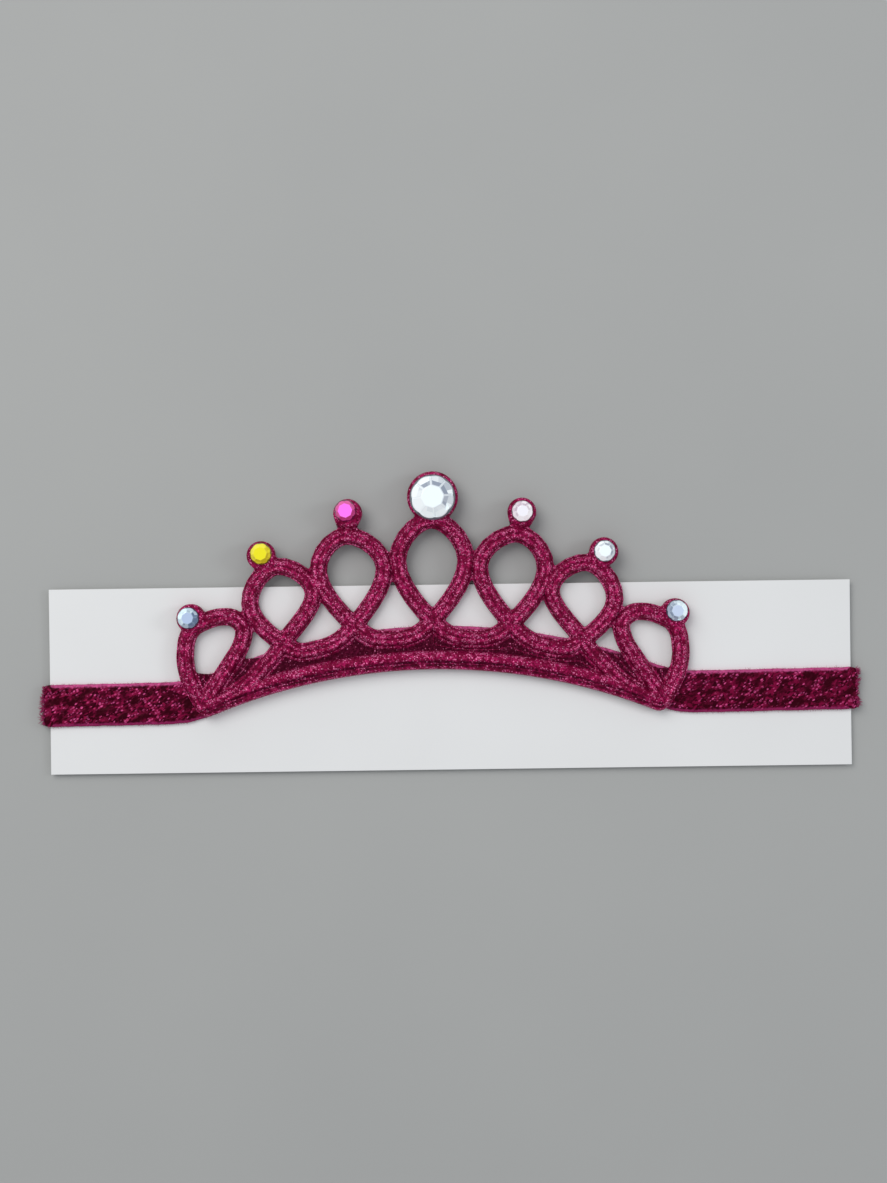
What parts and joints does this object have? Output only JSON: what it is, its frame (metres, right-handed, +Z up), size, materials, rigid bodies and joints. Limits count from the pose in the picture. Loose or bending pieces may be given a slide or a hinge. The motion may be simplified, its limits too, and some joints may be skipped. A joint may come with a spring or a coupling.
{
  "type": "mini crown headband on a plain card",
  "caption": "Elastic headband with a padded glitter crown of cord-like loops and faceted stones, folded flat round a plain card.",
  "frame": {"origin": "middle of the whole part's footprint, on the surface that it lies on", "axes": "+X along the band, to the right of someone who looks down at the crown with its points away from them, +Y towards the crown's points, +Z up out of the surface, through the crown's face"},
  "size_m": [0.2066, 0.0754, 0.0089],
  "materials": {
    "crown_glitter": "glitter over padded cloth",
    "band_elastic": "woven glitter elastic",
    "white_card": "smooth white card",
    "clear_stone": "clear, faceted, foil back",
    "pink_stone": "pink, faceted, foil back",
    "yellow_stone": "yellow, faceted, foil back",
    "blue_stone": "pale blue, faceted, foil back"
  },
  "bodies": {
    "root": {"crown": "crown_glitter", "band": "band_elastic", "card": "white_card", "gem_centre": "clear_stone", "gem_inner_left": "pink_stone", "gem_inner_right": "clear_stone", "gem_middle_left": "yellow_stone", "gem_middle_right": "clear_stone", "gem_end_left": "blue_stone", "gem_end_right": "clear_stone"}
  },
  "joints": []
}
